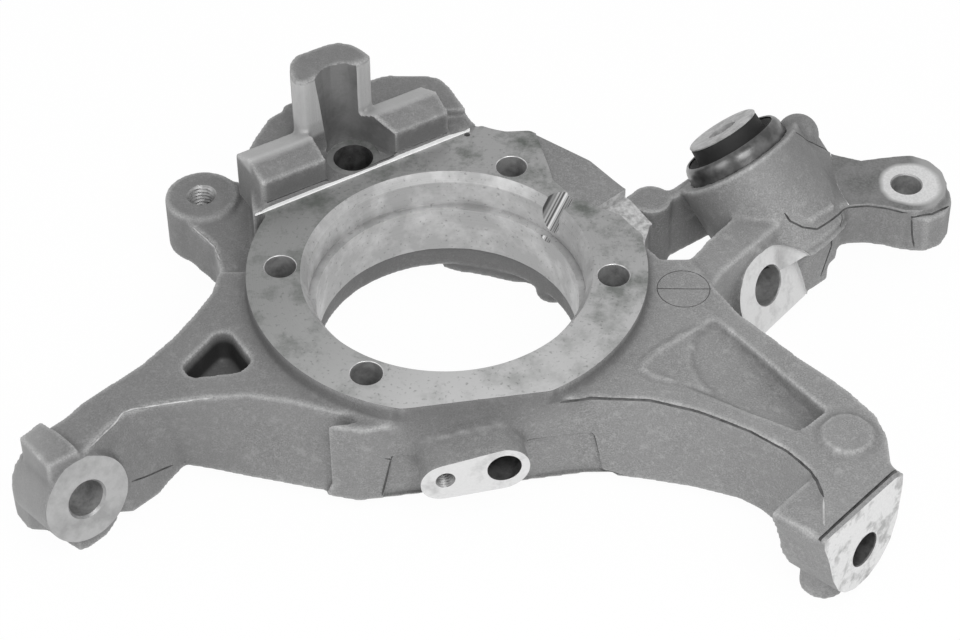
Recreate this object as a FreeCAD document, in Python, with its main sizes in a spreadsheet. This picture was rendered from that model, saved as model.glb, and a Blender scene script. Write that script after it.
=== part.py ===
# Steering knuckle: one aluminium casting with machined faces and bores, and a bonded bush pressed into it.
# Frame: origin on the hub axis at the machined hub face, +Z out of that face along the hub axis,
# +X towards the arm that carries the bush, +Y towards the two pads and the post. Millimetres.
import FreeCAD, Part
import Sketcher
import math
import os

os.makedirs("parts", exist_ok=True)
doc = FreeCAD.newDocument("steering_knuckle")
Vec = FreeCAD.Vector

# Driving dimensions
sheet = doc.addObject("Spreadsheet::Sheet", "dims")
size = {}


def dim(alias, value, note):
    row = len(size) + 1
    sheet.set("A%d" % row, alias)
    sheet.set("B%d" % row, "%g" % value)
    sheet.set("C%d" % row, note)
    sheet.setAlias("B%d" % row, alias)
    size[alias] = float(value)


dim("ring_rad", 78.4, "outer radius of the hub ring")
dim("body_depth", 48.0, "hub face down to the underside")
dim("web_drop", 6.0, "how far the webs lie under the hub face")
dim("front_flat", 73.16, "hub axis to the flat front wall")
dim("front_flat_angle", 8.75, "direction of the front wall, degrees from +X")
dim("pilot_rad", 54.6, "hub pilot bore radius")
dim("pilot_depth", 16.0, "hub face to the ledge in the bore")
dim("inner_rad", 51.8, "bore radius under the ledge")
dim("inner_depth", 35.0, "hub face to the end of the turned bore")
dim("cored_rad", 52.4, "cast bore under the turned bore")
dim("bore_chamfer", 2.6, "radial width of the bore lead-in")
dim("bolt_circle_rad", 65.0, "radius of the four hub bolt holes")
dim("bolt_hole_rad", 6.25, "radius of the hub bolt holes")
dim("left_x", -134.2, "left arm end: centre of the machined disc, x")
dim("left_y", -94.4, "left arm end: centre of the machined disc, y")
dim("left_z", -28.0, "left arm end: centre of the machined disc, z")
dim("left_disc_rad", 18.0, "left arm end: radius of the machined disc")
dim("left_hole_rad", 7.45, "left arm end: hole radius")
dim("left_boss_len", 25.0, "left arm end: length of the boss")
dim("stud_x", -100.5, "tapped boss, x")
dim("stud_y", 60.0, "tapped boss, y")
dim("stud_rad", 15.0, "tapped boss radius")
dim("stud_drop", 14.0, "tapped boss top under the hub face")
dim("stud_hole_rad", 5.2, "tapped boss: tapping size radius (M12)")
dim("lower_x", 152.4, "lower right arm end: hole centre, x")
dim("lower_y", -121.7, "lower right arm end: hole centre, y")
dim("lower_z", -30.0, "lower right arm end: hole centre, z")
dim("lower_hole_rad", 6.9, "lower right arm end: hole radius")
dim("link_x", 128.7, "link boss: centre of the machined face, x")
dim("link_y", 19.4, "link boss: centre of the machined face, y")
dim("link_z", -30.0, "link boss: centre of the machined face, z")
dim("link_rad", 19.0, "link boss: radius of the machined face")
dim("link_hole_rad", 8.4, "link boss: hole radius")
dim("steer_x", 187.2, "steering arm: hole centre, x")
dim("steer_y", 59.6, "steering arm: hole centre, y")
dim("steer_drop", 12.0, "steering arm: machined face under the hub face")
dim("steer_thick", 22.0, "steering arm: thickness at the eye")
dim("steer_hole_rad", 6.1, "steering arm: hole radius")
dim("bush_x", 118.5, "bush housing: centre of its upper end, x")
dim("bush_y", 65.8, "bush housing: centre of its upper end, y")
dim("bush_z", -1.6, "bush housing: centre of its upper end, z")
dim("bush_len", 38.0, "bush housing length")
dim("bush_house_rad", 27.0, "bush housing outer radius")
dim("bush_sleeve_rad", 22.0, "bush outer sleeve radius")
dim("bush_sleeve_wall", 1.8, "bush outer sleeve wall")
dim("bush_sleeve_proud", 7.0, "bush outer sleeve: length outside the housing")
dim("bush_pin_rad", 15.8, "bush inner piece: radius of its end disc")
dim("bush_pin_bore", 6.1, "bush inner piece: bore radius")
dim("bush_pin_proud", 13.5, "bush inner piece: length outside the housing")
dim("sensor_x", 21.25, "sensor boss: large hole centre, x")
dim("sensor_y", -84.6, "sensor boss: large hole centre, y")
dim("sensor_z", -24.0, "sensor boss: large hole centre, z")
dim("sensor_hole_rad", 6.6, "sensor boss: large hole radius")
dim("sensor_screw_rad", 4.0, "sensor boss: tapped hole radius")
dim("post_top", 40.5, "top of the post over the hub face")
dim("pad_rise", 13.0, "front edge of the two pads over the hub face")
dim("pad_ridge", 17.5, "rear ridge of the two pads over the hub face")
dim("foot_depth", 54.0, "hub face down to the three low lugs the part rests on")
dim("cable_x", -38.0, "large hole between the pads, x")
dim("cable_y", 64.4, "large hole between the pads, y")
dim("cable_rad", 8.1, "large hole between the pads: radius")
dim("seat_rise", 1.5, "floor beyond the straight milled edge, over the hub face")
doc.recompute()

BOLT_ANGLES = (178.6, 242.4, 355.1, 66.3)


# Helpers
def term(spec):
    """Value and expression of a number, an alias, or (factor, alias, offset)."""
    if isinstance(spec, str):
        return size[spec], "dims.%s" % spec
    if isinstance(spec, tuple):
        factor, alias, offset = spec
        return factor * size[alias] + offset, "%g * dims.%s + %g" % (factor, alias, offset)
    return float(spec), None


def bind(obj, prop, spec):
    value, text = term(spec)
    if text:
        obj.setExpression(prop, text)
    return value


def new_body(name, at=None, turn=None):
    body = doc.addObject("PartDesign::Body", name)
    if at or turn:
        spot = Vec(*[term(a)[0] for a in (at or (0, 0, 0))])
        body.Placement = FreeCAD.Placement(spot, turn or FreeCAD.Rotation())
        for axis, spec in zip("xyz", at or ()):
            bind(body, "Placement.Base.%s" % axis, spec)
    return body


def new_sketch(body, name, level=0.0, role="XY_Plane"):
    sk = body.newObject("Sketcher::SketchObject", name)
    flat = [f for f in body.Origin.OriginFeatures if f.Role == role][0]
    sk.AttachmentSupport = [(flat, "")]
    sk.MapMode = "FlatFace"
    value, text = term(level)
    sk.AttachmentOffset = FreeCAD.Placement(Vec(0, 0, value), FreeCAD.Rotation())
    if text:
        sk.setExpression("AttachmentOffset.Base.z", text)
    return sk


def moved(value, weight, alias):
    """Coordinate that moves with a driving dimension, by the weight given."""
    if not alias or not weight:
        return value, None
    base = size[alias]
    return value, "%g + %g * (dims.%s - (%g))" % (value, weight, alias, base)


def outline(sk, points, follow=None):
    """Closed outline through points (x, y[, weight]); the weight ties a corner to the follow pair."""
    count = len(points)
    spots = [Vec(p[0], p[1], 0) for p in points]
    for i in range(count):
        sk.addGeometry(Part.LineSegment(spots[i], spots[(i + 1) % count]), False)
    for i in range(count):
        sk.addConstraint(Sketcher.Constraint("Coincident", i, 2, (i + 1) % count, 1))
    for i, p in enumerate(points):
        weight = p[2] if len(p) > 2 else 0
        for k, kind in enumerate(("DistanceX", "DistanceY")):
            value, text = moved(p[k], weight, follow[k] if follow else None)
            index = sk.addConstraint(Sketcher.Constraint(kind, i, 1, value))
            if text:
                sk.setExpression("Constraints[%d]" % index, text)
    return sk


def circle(sk, x, y, radius):
    vx, tx = term(x)
    vy, ty = term(y)
    vr, tr = term(radius)
    g = sk.addGeometry(Part.Circle(Vec(vx, vy, 0), Vec(0, 0, 1), vr), False)
    for kind, value, text in (("DistanceX", vx, tx), ("DistanceY", vy, ty)):
        index = sk.addConstraint(Sketcher.Constraint(kind, g, 3, value))
        if text:
            sk.setExpression("Constraints[%d]" % index, text)
    index = sk.addConstraint(Sketcher.Constraint("Radius", g, vr))
    if tr:
        sk.setExpression("Constraints[%d]" % index, tr)
    return g


def belt(sk, first, second):
    """Two round ends (x, y, r) joined by tangent lines."""
    (ax, ay, ar), (bx, by, br) = first, second
    run = math.hypot(bx - ax, by - ay)
    base = math.atan2(by - ay, bx - ax)
    lean = math.acos((ar - br) / run)
    up, down = base + lean, base - lean

    def on(cx, cy, r, a):
        return Vec(cx + r * math.cos(a), cy + r * math.sin(a), 0)

    z = Vec(0, 0, 1)
    sk.addGeometry(Part.ArcOfCircle(Part.Circle(Vec(ax, ay, 0), z, ar), up, down + 2 * math.pi), False)
    sk.addGeometry(Part.ArcOfCircle(Part.Circle(Vec(bx, by, 0), z, br), down, up), False)
    sk.addGeometry(Part.LineSegment(on(ax, ay, ar, down), on(bx, by, br, down)), False)
    sk.addGeometry(Part.LineSegment(on(bx, by, br, up), on(ax, ay, ar, up)), False)
    for one, end, two, start in ((0, 2, 2, 1), (2, 2, 1, 1), (1, 2, 3, 1), (3, 2, 0, 1)):
        sk.addConstraint(Sketcher.Constraint("Tangent", one, end, two, start))
    for g, (cx, cy, r) in ((0, first), (1, second)):
        sk.addConstraint(Sketcher.Constraint("DistanceX", g, 3, cx))
        sk.addConstraint(Sketcher.Constraint("DistanceY", g, 3, cy))
        sk.addConstraint(Sketcher.Constraint("Radius", g, r))


def pad(body, sk, name, length, down=False, taper=0.0):
    f = body.newObject("PartDesign::Pad", name)
    f.Profile = sk
    f.Type = 0
    f.Length = bind(f, "Length", length)
    f.Reversed = down
    f.TaperAngle = taper
    sk.Visibility = False
    return f


def loft(body, lower, upper, name):
    f = body.newObject("PartDesign::AdditiveLoft", name)
    f.Profile = lower
    f.Sections = [upper]
    f.Ruled = True
    return f


def soften(body, feature, name, radius, pick):
    """Cast rounding on the edges of a feature that the test picks."""
    doc.recompute()
    names = ["Edge%d" % (i + 1) for i, e in enumerate(feature.Shape.Edges) if pick(e)]
    f = body.newObject("PartDesign::Fillet", name)
    f.Base = (feature, names)
    f.Radius = radius
    return f


def cylinder(name, radius, height, at, direction=Vec(0, 0, 1)):
    c = doc.addObject("Part::Cylinder", name)
    c.Radius = bind(c, "Radius", radius)
    c.Height = bind(c, "Height", height)
    spot = Vec(*[term(a)[0] for a in at])
    c.Placement = FreeCAD.Placement(spot, FreeCAD.Rotation(Vec(0, 0, 1), direction))
    for axis, spec in zip("xyz", at):
        bind(c, "Placement.Base.%s" % axis, spec)
    return c


def facing(normal, across):
    """Rotation with local Z along the normal and local X close to the across direction."""
    z = Vec(*normal).normalize()
    x = Vec(*across)
    x = (x - z * x.dot(z)).normalize()
    return FreeCAD.Rotation(x, z.cross(x), z, "ZXY")


cast = []
cuts = []
UNDER = (-1, "body_depth", 0)
WEB = (-1, "web_drop", 0)

# Hub ring: disc with a flat front wall
ring = new_body("hub_ring")
sk = new_sketch(ring, "ring_outline", UNDER)
a = math.radians(size["front_flat_angle"])
half = math.sqrt(size["ring_rad"] ** 2 - size["front_flat"] ** 2)
foot = Vec(math.sin(a), -math.cos(a), 0) * size["front_flat"]
along = Vec(math.cos(a), math.sin(a), 0)
left_pt, right_pt = foot - along * half, foot + along * half
start, stop = math.atan2(right_pt.y, right_pt.x), math.atan2(left_pt.y, left_pt.x)
rim = Part.ArcOfCircle(Part.Circle(Vec(), Vec(0, 0, 1), size["ring_rad"]), start, stop + 2 * math.pi)
sk.addGeometry(rim, False)
sk.addGeometry(Part.LineSegment(left_pt, right_pt), False)
sk.addConstraint(Sketcher.Constraint("Coincident", 0, 3, -1, 1))
sk.addConstraint(Sketcher.Constraint("Coincident", 0, 2, 1, 1))
sk.addConstraint(Sketcher.Constraint("Coincident", 1, 2, 0, 1))
i = sk.addConstraint(Sketcher.Constraint("Radius", 0, size["ring_rad"]))
sk.setExpression("Constraints[%d]" % i, "dims.ring_rad")
i = sk.addConstraint(Sketcher.Constraint("Distance", -1, 1, 1, size["front_flat"]))
sk.setExpression("Constraints[%d]" % i, "dims.front_flat")
i = sk.addConstraint(Sketcher.Constraint("Angle", 1, a))
sk.setExpression("Constraints[%d]" % i, "dims.front_flat_angle * 1 deg")
pad(ring, sk, "ring_pad", "body_depth")
cast.append(ring)

# Left arm: leaning walls, from the ring to the end with the machined disc
LEFT = ("left_x", "left_y")
left_top = [(-19, -74), (-41, -70.5), (-57, -64.5), (-75, -60.6), (-93, -62), (-110, -65.5),
            (-120, -69, 1), (-127, -77, 1), (-134, -90, 1), (-148, -90, 1), (-150, -78, 1),
            (-143, -71.5, 1), (-138, -64.5, 1), (-127, -53.5, 0.6), (-116.5, -43.5, 0.3), (-105.5, -29),
            (-98, -16), (-92, -4), (-90, 8), (-60, 8), (-20, -55)]
left_foot = [(-24, -77), (-43, -75), (-58, -71), (-75, -66.5), (-92, -61.5), (-101.5, -59.3),
             (-106, -66.6, 1), (-110.4, -74.3, 1), (-119.3, -83, 1), (-148, -86, 1), (-150, -77, 1),
             (-142, -70.5, 1), (-137, -63.5, 1), (-126, -52.5, 0.6), (-115.5, -42.5, 0.3),
             (-104.5, -28), (-97, -15), (-91, -3), (-89, 8), (-60, 8), (-22, -55)]
body = new_body("left_arm")
lower = outline(new_sketch(body, "left_arm_foot", UNDER), left_foot, LEFT)
upper = outline(new_sketch(body, "left_arm_top", (-1, "web_drop", -2)), left_top, LEFT)
loft(body, lower, upper, "left_arm_loft")
cast.append(body)

LEFT_N = Vec(0.63, -0.76, 0.16).normalize()
LEFT_AT = ("left_x", "left_y", "left_z")
cast.append(cylinder("left_end_boss", "left_disc_rad", "left_boss_len", LEFT_AT, LEFT_N * -1))

body = new_body("left_end_cap")
cap_top = [(-158, -84, 1), (-151, -76, 1), (-143, -82, 1), (-135, -91, 1), (-146, -99.5, 1)]
sk = outline(new_sketch(body, "left_cap_outline", -5.0), cap_top, LEFT)
pad(body, sk, "left_cap_pad", 30.0, down=True)
cast.append(body)

body = new_body("left_end_foot")
end_foot = [(-167, -72, 1), (-165, -79, 1), (-160, -86, 1), (-152, -87.3, 1), (-144.4, -93.4, 1),
            (-139.5, -97.3, 1), (-135.9, -95.6, 1), (-129.6, -89, 1), (-126.5, -81.5, 1),
            (-128, -68, 1), (-140, -62, 1), (-158, -60, 1)]
sk = outline(new_sketch(body, "left_foot_outline", (-1, "foot_depth", 0)), end_foot, LEFT)
pad(body, sk, "left_foot_pad", 15.0)
cast.append(body)

# Tapped boss on its lug
STUD = ("stud_x", "stud_y")
body = new_body("stud_lug")
lug = [(-88, 0), (-91, 18), (-94.2, 31.8), (-106.2, 46, 1), (-114.5, 55, 1), (-107, 73, 1),
       (-86, 71, 1), (-80, 60), (-66, 52), (-60, 5)]
sk = outline(new_sketch(body, "lug_outline", -38.0), lug, STUD)
pad(body, sk, "lug_pad", 22.0)
cast.append(body)
cast.append(cylinder("stud_boss", "stud_rad", 24.5, ("stud_x", "stud_y", -38.5)))

# Seat of the pads and the post
body = new_body("anchor_seat")
seat = [(-77.1, 30.6), (9.4, 81.9), (14, 81.4), (10, 87.4), (5, 95.4), (1, 103.4), (-3, 107.4),
        (-9, 109.4), (-24, 110.4), (-32, 107.4), (-60, 95.4), (-66, 91.4), (-70, 86.4), (-74.5, 79.4),
        (-78, 71.4), (-79.6, 62.4), (-79, 48.4)]
sk = outline(new_sketch(body, "seat_outline", "seat_rise"), seat)
pad(body, sk, "seat_pad", "body_depth", down=True)
cast.append(body)

body = new_body("seat_back")
back = [(-79.6, 57), (-80.5, 65.4), (-78, 73.4), (-73, 85.4), (-68, 89.4), (-67, 93.4), (-61, 96.9),
        (-46, 103.4), (-32, 109.4), (-28, 111.4), (-24, 112.4), (-9, 111.9), (-3, 109.9), (1, 104.4),
        (5, 95.9), (8, 89.4), (-6, 88.4), (-30, 80.4), (-50, 70.4)]
sk = outline(new_sketch(body, "back_outline", -16.5), back)
pad(body, sk, "back_pad", 22.0)
cast.append(body)


def ridge_pad(name, front_a, front_b, back_a):
    """Pad with a sloping top: front edge at pad_rise, rear ridge at pad_ridge."""
    body = new_body(name)
    run = Vec(front_b[0] - front_a[0], front_b[1] - front_a[1], 0)
    length = run.Length
    run.normalize()
    inward = Vec(-run.y, run.x, 0)
    depth = Vec(back_a[0] - front_a[0], back_a[1] - front_a[1], 0).dot(inward)
    turn = FreeCAD.Rotation(inward, Vec(0, 0, 1), run, "ZXY")
    body.Placement = FreeCAD.Placement(Vec(front_a[0], front_a[1], 0), turn)
    sk = new_sketch(body, name + "_section")
    pts = [(0, -10), (depth + 12, -10), (depth + 12, size["pad_ridge"] - 6), (depth, size["pad_ridge"]),
           (0, size["pad_rise"])]
    n = len(pts)
    for i in range(n):
        sk.addGeometry(Part.LineSegment(Vec(*pts[i], 0), Vec(*pts[(i + 1) % n], 0)), False)
    for i in range(n):
        sk.addConstraint(Sketcher.Constraint("Coincident", i, 2, (i + 1) % n, 1))
    tied = {2: "dims.pad_ridge - 6", 3: "dims.pad_ridge", 4: "dims.pad_rise"}
    for i, p in enumerate(pts):
        sk.addConstraint(Sketcher.Constraint("DistanceX", i, 1, p[0]))
        c = sk.addConstraint(Sketcher.Constraint("DistanceY", i, 1, p[1]))
        if i in tied:
            sk.setExpression("Constraints[%d]" % c, tied[i])
    pad(body, sk, name + "_pad", length)
    return body


cast.append(ridge_pad("left_pad", (-73, 35.4), (-48, 49.9), (-78.7, 45.2)))
cast.append(ridge_pad("right_pad", (-34.8, 57.3), (1, 78.4), (-39.9, 65.9)))

# Post with a hollow front
body = new_body("post")
post_plan = [(-59, 64.4), (-55.5, 64.4), (-50, 68.9), (-36, 74.9), (-31, 78.9), (-30, 81.4),
             (-34, 86.4), (-38, 89.4), (-43, 90.9), (-48, 89.4), (-60, 82.4), (-62, 78.4), (-62, 72.4),
             (-61, 67.4)]
sk = outline(new_sketch(body, "post_outline", -10.0), post_plan)
pad(body, sk, "post_pad", (1, "post_top", 10.0))
cast.append(body)

# Web behind the ring
body = new_body("rear_web")
rear = [(9, 81), (14, 85.4), (18, 83.4), (24, 81.4), (34, 81.9), (45, 73.4), (58, 63.4), (67, 51.4),
        (75, 41.4), (82, 29.4), (60, 20), (20, 60)]
sk = outline(new_sketch(body, "rear_outline", UNDER), rear)
pad(body, sk, "rear_pad", (1, "body_depth", -0.6))
cast.append(body)

# Right web and the lower right arm: leaning walls
LOWER = ("lower_x", "lower_y")
arm_top = [(40, -60), (42, -66.5), (57, -66), (76, -67), (94, -73.5), (112, -83.6), (125, -94),
           (133, -105, 1), (135.6, -115, 1), (137, -136, 1), (163, -108, 1), (162.5, -98, 1),
           (162.5, -88, 1), (159.5, -76.5, 0.7), (149.5, -62.5, 0.4), (132.5, -44.5), (122.5, -32.5),
           (113, -22), (104, -6), (96, 10), (84, 10), (74, 24), (50, 0)]
arm_foot = [(40, -58), (44, -66), (58, -66.5), (73, -69), (94, -74), (110.5, -80), (118.5, -85.8),
            (123.6, -92.7, 1), (124.6, -101, 1), (127, -111, 1), (148, -92, 1), (155.5, -92, 1),
            (157, -84, 1), (155, -73, 0.7), (146, -60, 0.4), (131, -44), (121, -32), (111, -22),
            (102, -6), (94, 8), (84, 10), (74, 24), (50, 0)]
body = new_body("lower_arm")
lower = outline(new_sketch(body, "lower_arm_foot", UNDER), arm_foot, LOWER)
upper = outline(new_sketch(body, "lower_arm_top", WEB), arm_top, LOWER)
loft(body, lower, upper, "lower_arm_loft")
cast.append(body)

LOWER_N = Vec(0.73, -0.68, 0.06)
LOWER_AT = ("lower_x", "lower_y", "lower_z")
body = new_body("lower_end", LOWER_AT, facing(LOWER_N, (0.68, 0.73, 0)))
face = [(-25, 24), (22, 23), (22, 16), (20, 2), (16, -8), (10, -14), (3, -17), (-5, -17), (-11, -14),
        (-15, -10), (-19, -1), (-22, 12), (-25, 20)]
sk = outline(new_sketch(body, "lower_face"), face)
pad(body, sk, "lower_face_pad", 24.0, down=True)
cast.append(body)
cast.append(cylinder("ring_lug", 7.4, 18.0, (43.2, 42.5, (-1, "foot_depth", 0))))
end_lug_at = ((1, "lower_x", -13.2), (1, "lower_y", 5.2), (-1, "foot_depth", 0))
cast.append(cylinder("lower_end_foot", 8.6, 26.0, end_lug_at))
ejector_at = ((1, "lower_x", -4.9), (1, "lower_y", 34.7), -16.2)
cast.append(cylinder("lower_ejector_pad", 9.8, 12.0, ejector_at))

# Link boss
LINK_N = Vec(0.74, -0.61, 0.28)
LINK_AT = ("link_x", "link_y", "link_z")
body = new_body("link_boss", LINK_AT, facing(LINK_N, (0.61, 0.74, 0)))
link = [(-18, -18.5)]
for k in range(13):
    t = math.radians(180 - 15 * k)
    link.append((-0.5 + 18.5 * math.cos(t), 17 * math.sin(t)))
link.append((21.5, -18.5))
sk = outline(new_sketch(body, "link_face"), link)
pad(body, sk, "link_pad", 20.0, down=True)
cast.append(body)

# Near branch, from the right web to the bush housing
body = new_body("near_branch")
near = [(85, 8.5), (91.5, 8.5), (96, 11.5), (100, 16.5), (103, 21.5), (109, 28.5), (117, 38.5),
        (124, 48), (132, 56), (152, 50), (156, 41.5), (146, 33), (135, 33), (124, 21), (116, 12),
        (108, 3), (103, -6), (84, -6)]
sk = outline(new_sketch(body, "near_outline", UNDER), near)
pad(body, sk, "near_pad", (1, "body_depth", -7.0))
cast.append(body)

# Far branch: low wall and the rib over it
body = new_body("far_wall")
far = [(70, 34), (82.5, 48), (90, 55), (109, 69), (122, 62), (132, 66), (126, 80), (106, 78), (92, 68),
       (84, 66), (74, 60), (66, 56)]
sk = outline(new_sketch(body, "far_outline", UNDER), far)
pad(body, sk, "far_pad", (1, "body_depth", -23.0))
cast.append(body)

body = new_body("far_rib")
rib = [(66, 50), (78, 51), (90, 55.5), (104, 64), (122, 74), (120, 84), (100, 71), (91, 62.5), (84, 64),
       (74, 60)]
sk = outline(new_sketch(body, "rib_outline", -30.0), rib)
pad(body, sk, "rib_pad", 14.0)
cast.append(body)
cast.append(cylinder("far_lug", 8.5, 32.0, (83.0, 57.0, -48.0)))

# Bush housing and the shoulder beside it
BUSH_N = Vec(-0.52, 0.43, 0.74).normalize()
BUSH_AT = ("bush_x", "bush_y", "bush_z")
SIDE = (0.64, 0.77, 0)
cast.append(cylinder("bush_housing", "bush_house_rad", (1, "bush_len", 4.0), BUSH_AT, BUSH_N * -1))
body = new_body("housing_shoulder", BUSH_AT, facing(BUSH_N, SIDE))
sk = new_sketch(body, "shoulder_outline", -3.5)
belt(sk, (0, 0, 25.5), (20.0, 0.0, 17.0))
pad(body, sk, "shoulder_pad", (1, "bush_len", 4.0), down=True)
cast.append(body)

body = new_body("housing_root")
root = [(124, 48), (135, 33), (146, 33), (156, 41.5), (159, 45), (162, 60), (160, 78), (150, 86),
        (132, 84), (118, 70)]
sk = outline(new_sketch(body, "root_outline", (-1, "steer_drop", -28.0)), root)
pad(body, sk, "root_pad", 28.0)
cast.append(body)

# Steering arm with its eye
STEER = ("steer_x", "steer_y")
body = new_body("steering_arm")
steer = [(150, 40), (157, 42), (161, 47), (170, 48), (178, 46.5, 1), (184, 44, 1), (190, 43.2, 1),
         (197, 46, 1), (202, 52, 1), (203.8, 60, 1), (202.5, 67.5, 1), (198, 74, 1), (191, 77.5, 1),
         (182, 76.5, 1), (170, 74.5), (158, 79), (148, 84)]
sk = outline(new_sketch(body, "steer_outline", (-1, "steer_drop", -22.0)), steer, STEER)
pad(body, sk, "steer_pad", "steer_thick")
cast.append(body)
body = new_body("steering_lug")
tail = [(187, 48, 1), (188.6, 42.2, 1), (194.2, 41.2, 1), (201.3, 44.8, 1), (205.2, 52, 1),
        (205.4, 59, 1), (199, 62, 1), (190, 58, 1)]
sk = outline(new_sketch(body, "steer_lug_outline", (-1, "steer_drop", -21.0)), tail, STEER)
pad(body, sk, "steer_lug_pad", (1, "steer_thick", -4.0))
cast.append(body)

# Sensor boss on the front wall
SENSOR_N = Vec(0.2, -0.98, 0).normalize()
SENSOR_AT = ("sensor_x", "sensor_y", "sensor_z")
body = new_body("sensor_boss", SENSOR_AT, facing(SENSOR_N, (0.98, 0.2, 0)))
sk = new_sketch(body, "sensor_face")
belt(sk, (-23.1, -2.6, 8.9), (-0.4, -0.7, 10.3))
pad(body, sk, "sensor_pad", 24.0, down=True)
cast.append(body)

# Low lug under the rear of the ring, where the sensor opening comes out
body = new_body("ring_foot")
foot = [(-2, 57.5), (4.6, 54.5), (8.7, 53.8), (17, 51.4), (25.3, 48.4), (33.6, 47), (38, 41), (44, 38),
        (49, 42), (46, 56), (30, 68), (8, 74), (-8, 70)]
sk = outline(new_sketch(body, "ring_foot_outline", (-1, "foot_depth", 0)), foot)
pad(body, sk, "ring_foot_pad", 16.0)
cast.append(body)


def join(name, pieces):
    """One solid from the pieces, added one after another."""
    whole = pieces[0]
    for k, piece in enumerate(pieces[1:]):
        step = doc.addObject("Part::Fuse", "%s_%d" % (name, k + 1))
        step.Base, step.Tool = whole, piece
        step.Refine = False
        whole = step
    return whole


groups = {"left_side": [], "anchor_side": [], "right_side": [], "tower_side": []}
TURNS = (("anchor_seat", "anchor_side"), ("rear_web", "left_side"), ("lower_arm", "right_side"),
         ("far_wall", "tower_side"), ("sensor_boss", "left_side"))
side = "left_side"
for piece in cast:
    side = dict(TURNS).get(piece.Name, side)
    groups[side].append(piece)
blank = join("blank", [join(name, pieces) for name, pieces in groups.items()])

# Stepped hub bore
body = new_body("bore_tool")
sk = new_sketch(body, "bore_profile", 0.0, "XZ_Plane")
lead = size["pilot_rad"] + size["bore_chamfer"]
profile = [
    (0, 2, None, None), (lead + 2.0, 2, None, None), (lead, 0, "dims.pilot_rad + dims.bore_chamfer", None),
    (size["pilot_rad"], -4, "dims.pilot_rad", None),
    (size["pilot_rad"], -size["pilot_depth"] + 1.2, "dims.pilot_rad", "1.2 - dims.pilot_depth"),
    (size["pilot_rad"] + 0.6, -size["pilot_depth"] + 0.8, "dims.pilot_rad + 0.6", "0.8 - dims.pilot_depth"),
    (size["pilot_rad"] + 0.6, -size["pilot_depth"], "dims.pilot_rad + 0.6", "-dims.pilot_depth"),
    (size["inner_rad"], -size["pilot_depth"], "dims.inner_rad", "-dims.pilot_depth"),
    (size["inner_rad"], -size["inner_depth"], "dims.inner_rad", "-dims.inner_depth"),
    (size["cored_rad"], -size["inner_depth"] - 3, "dims.cored_rad", "-dims.inner_depth - 3"),
    (size["cored_rad"] + 0.8, -size["body_depth"] - 8, "dims.cored_rad + 0.8", "-dims.body_depth - 8"),
    (0, -size["body_depth"] - 8, None, "-dims.body_depth - 8"),
]
n = len(profile)
for i in range(n):
    p, q = profile[i], profile[(i + 1) % n]
    sk.addGeometry(Part.LineSegment(Vec(p[0], p[1], 0), Vec(q[0], q[1], 0)), False)
for i in range(n):
    sk.addConstraint(Sketcher.Constraint("Coincident", i, 2, (i + 1) % n, 1))
for i, p in enumerate(profile):
    for kind, value, text in (("DistanceX", p[0], p[2]), ("DistanceY", p[1], p[3])):
        c = sk.addConstraint(Sketcher.Constraint(kind, i, 1, value))
        if text:
            sk.setExpression("Constraints[%d]" % c, text)
turned = body.newObject("PartDesign::Revolution", "bore_turn")
turned.Profile = sk
turned.ReferenceAxis = (sk, ["V_Axis"])
turned.Angle = 360
cuts.append(body)

# Holes
for k, ang in enumerate(BOLT_ANGLES):
    ca, sa = math.cos(math.radians(ang)), math.sin(math.radians(ang))
    at = ((ca, "bolt_circle_rad", 0), (sa, "bolt_circle_rad", 0), -60.0)
    cuts.append(cylinder("bolt_hole_%d" % (k + 1), "bolt_hole_rad", 70.0, at))

cuts.append(cylinder("left_hole", "left_hole_rad", 60.0, LEFT_AT, LEFT_N * -1))
cuts.append(cylinder("stud_hole", "stud_hole_rad", 40.0, ("stud_x", "stud_y", -45.0)))
cuts.append(cylinder("lower_hole", "lower_hole_rad", 22.0, LOWER_AT, LOWER_N * -1))
cuts.append(cylinder("link_hole", "link_hole_rad", 44.0, LINK_AT, LINK_N * -1))
cuts.append(cylinder("steer_hole", "steer_hole_rad", 60.0, ("steer_x", "steer_y", -50.0)))
cuts.append(cylinder("cable_hole", "cable_rad", 70.0, ("cable_x", "cable_y", -60.0)))
cuts.append(cylinder("sensor_hole", "sensor_hole_rad", 45.0, SENSOR_AT, SENSOR_N * -1))
screw_at = ((1, "sensor_x", -22.05), (1, "sensor_y", -4.5), (1, "sensor_z", -1.8))
cuts.append(cylinder("sensor_screw_hole", "sensor_screw_rad", 16.0, screw_at, SENSOR_N * -1))
cuts.append(cylinder("bush_bore", "bush_sleeve_rad", "bush_len", BUSH_AT, BUSH_N * -1))

# Room for a bolt head in front of the post
body = new_body("bolt_room")
room = [(-49.6, 54.4), (-49.5, 63.4), (-49, 68.4), (-47.4, 72.2), (-45, 74.7), (-42, 76.1), (-39, 76.3),
        (-36, 75.4), (-33, 73.7), (-29.5, 71.4), (-25, 68.2), (-21, 65.6), (-24, 56.4), (-36, 48.4)]
sk = outline(new_sketch(body, "room_outline", "seat_rise"), room)
pad(body, sk, "room_pad", (1, "post_top", 12.0))
cuts.append(body)

# Room milled free in front of the link face
body = new_body("link_mill", LINK_AT, facing(LINK_N, (0.61, 0.74, 0)))
sk = outline(new_sketch(body, "link_mill_outline"), link)
pad(body, sk, "link_mill_pad", 15.0)
cuts.append(body)


# Seats cut square on the far side of two holes
def far_seat(name, radius, back, deep, where, normal):
    """Clearing cylinder that starts the given length behind a machined face."""
    spot = tuple((1, alias, -normal.normalize()[k] * back) for k, alias in enumerate(where))
    cuts.append(cylinder(name, radius, deep, spot, normal * -1))


far_seat("left_far_seat", 13.5, 26.0, 22.0, LEFT_AT, LEFT_N)
far_seat("link_far_seat", 12.0, 23.5, 9.0, LINK_AT, LINK_N)

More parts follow.
